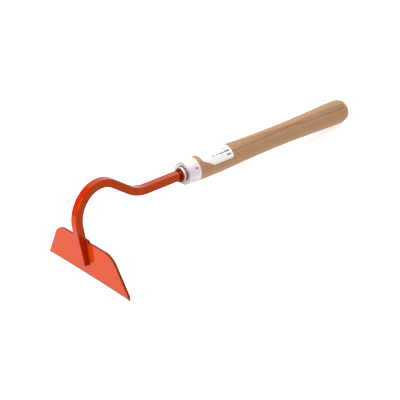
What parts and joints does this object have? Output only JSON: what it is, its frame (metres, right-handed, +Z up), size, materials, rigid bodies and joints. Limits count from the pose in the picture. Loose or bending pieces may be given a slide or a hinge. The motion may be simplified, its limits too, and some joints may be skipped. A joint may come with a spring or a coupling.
{
  "type": "hand draw hoe",
  "caption": "Short-handled draw hoe: flat steel blade welded to a square gooseneck bar, set in a turned wooden handle with a steel ferrule.",
  "frame": {"origin": "on the floor under the middle of the tool's box, as it stands on the blade's two lower corners and the butt of the handle", "axes": "+X forward along the tool, from the butt towards the blade; +Y to the tool's left; +Z up"},
  "size_m": [0.4298, 0.151, 0.1113],
  "materials": {
    "red_enamel": "glossy orange-red enamel over steel, worn thin along the cutting edge",
    "zinc_steel": "bright zinc-plated steel, softly streaked",
    "nail_steel": "dull dark nail head",
    "handle_wood": "sanded, unvarnished beech or ash with long grain",
    "paper": "matt white paper sticker with plain grey bars"
  },
  "bodies": {
    "root": {"blade": "red_enamel", "gooseneck_shank": "red_enamel", "weld_side": "red_enamel", "weld_top": "red_enamel", "weld_toe": "red_enamel", "ferrule": "zinc_steel", "ferrule_nail": "nail_steel", "handle": "handle_wood", "label": "paper"}
  },
  "joints": []
}
